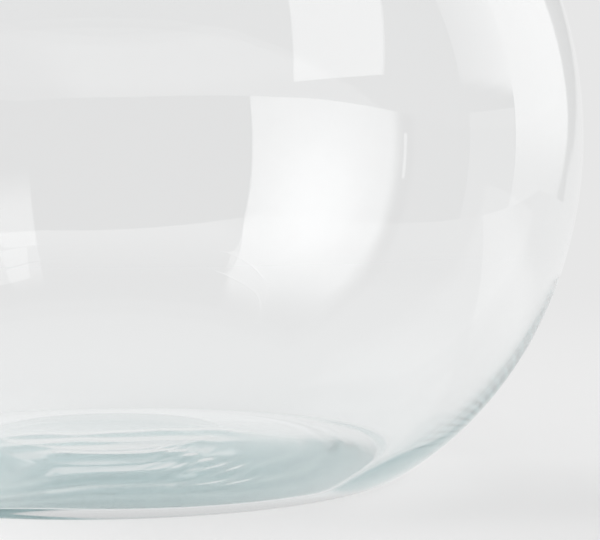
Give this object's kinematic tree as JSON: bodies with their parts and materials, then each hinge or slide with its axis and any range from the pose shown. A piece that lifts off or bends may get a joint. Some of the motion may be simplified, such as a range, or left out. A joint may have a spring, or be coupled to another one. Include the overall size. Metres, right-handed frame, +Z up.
{
  "type": "fishbowl vase",
  "caption": "Round blown-glass bowl vase with a wide belly, a heavy clear base with a pale aqua tint and a narrower open mouth for flowers.",
  "frame": {"origin": "middle of the foot, on the surface that the vase stands on", "axes": "+Z up along the vase's axis, out of the mouth; -Y towards the camera and +X to its right"},
  "size_m": [0.28, 0.28, 0.2],
  "materials": {
    "clear_glass": "clear polished blown glass, colourless in the thin wall and pale aqua where it is thick"
  },
  "bodies": {
    "root": {"glass_bowl": "clear_glass"}
  },
  "joints": []
}
